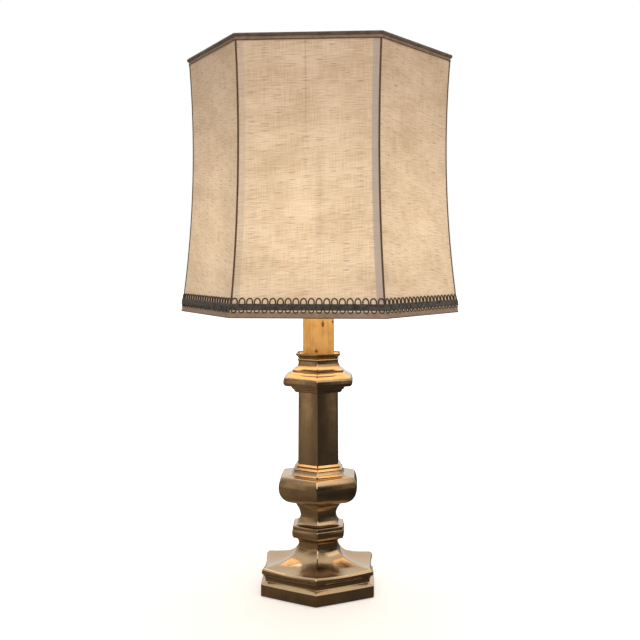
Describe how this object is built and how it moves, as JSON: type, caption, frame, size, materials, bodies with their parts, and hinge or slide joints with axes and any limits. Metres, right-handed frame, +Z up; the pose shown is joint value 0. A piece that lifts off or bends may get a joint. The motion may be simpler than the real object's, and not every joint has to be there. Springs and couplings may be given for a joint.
{
  "type": "candlestick table lamp",
  "caption": "Candlestick table lamp with a six-sided cast stem, knop and capital, a wax-look sleeve and a waisted six-sided cloth shade with trimmed edges.",
  "frame": {"origin": "centre of the underside of the base, on the surface that the lamp stands on", "axes": "+Z up along the stem; -Y is the front, where a corner of the six-sided base points and a flat panel of the shade faces; +X is to the right seen from the front"},
  "size_m": [0.357, 0.317, 0.68],
  "materials": {
    "aged_bronze": "antique bronze finish, glossy lacquer",
    "steel_sheet": "zinc plated sheet",
    "felt": "dark green felt",
    "zinc_steel": "zinc plated",
    "cast_iron": "rough cast, black",
    "brown_plastic": "moulded brown",
    "white_plastic": "moulded white",
    "brass_screws": "turned",
    "brass_strip": "rolled strip",
    "brown_lead": "insulated wire, brown",
    "blue_lead": "insulated wire, blue",
    "wax_tube": "wax coated, satin",
    "holder_plastic": "moulded ivory",
    "porcelain": "white porcelain",
    "solder": "solder",
    "black_glass": "black vitrite",
    "cap_metal": "rolled aluminium",
    "frosted_glass": "frosted",
    "clear_glass": "clear",
    "tungsten": "drawn wire",
    "frame_wire": "cream coated wire",
    "slub_cloth": "slubbed linen weave, cream",
    "lining_cloth": "smooth off-white lining",
    "trim_tape": "taupe woven tape",
    "trim_cord": "dark taupe rolled cord",
    "gimp": "looped braid, dark brown",
    "hem_cloth": "taupe cloth",
    "seam_tape": "taupe woven tape"
  },
  "bodies": {
    "lamp_stem": {"foot": "aged_bronze", "base_plate": "steel_sheet", "base_felt": "felt", "plate_screws": "zinc_steel", "base_weight": "cast_iron", "base_washer": "zinc_steel", "base_nut": "zinc_steel", "cord_bushing": "brown_plastic", "terminal_block": "white_plastic", "terminal_screws": "brass_screws", "lead_live": "brown_lead", "lead_neutral": "blue_lead", "stem_rod": "zinc_steel", "lower_ring": "aged_bronze", "knop": "aged_bronze", "knop_collar": "aged_bronze", "column": "aged_bronze", "capital": "aged_bronze", "drip_cup": "aged_bronze", "top_nut": "zinc_steel", "candle_sleeve": "wax_tube", "lampholder_base": "holder_plastic", "lampholder_shell": "holder_plastic", "lampholder_core": "porcelain", "lampholder_liner": "brass_strip", "holder_screws": "brass_screws", "centre_contact": "brass_strip", "side_contact": "brass_strip"},
    "clamp_ring": {"shade_ring": "holder_plastic"},
    "bulb": {"bulb_contact": "solder", "bulb_insulator": "black_glass", "bulb_cap": "cap_metal", "bulb_glass": "frosted_glass", "bulb_stem": "clear_glass", "filament": "tungsten"},
    "shade": {"fitter_ring": "frame_wire", "spider_arms": "frame_wire", "top_frame_ring": "frame_wire", "bottom_frame_ring": "frame_wire", "frame_struts": "frame_wire", "shade_cover": "slub_cloth", "shade_lining": "lining_cloth", "top_trim": "trim_tape", "top_cord": "trim_cord", "gimp_braid": "gimp", "bottom_binding": "hem_cloth", "strut_tapes": "seam_tape"}
  },
  "joints": [
    {"name": "shade_turn", "type": "hinge", "parent": "lamp_stem", "child": "shade", "pos_m": [0, 0, 0.3776], "axis": [0, 0, 1], "continuous": true},
    {"name": "ring_turn", "type": "hinge", "parent": "lamp_stem", "child": "clamp_ring", "pos_m": [0, 0, 0.383], "axis": [0, 0, 1], "continuous": true},
    {"name": "bulb_turn", "type": "hinge", "parent": "lamp_stem", "child": "bulb", "pos_m": [0, 0, 0.378], "axis": [0, 0, 1], "continuous": true}
  ]
}
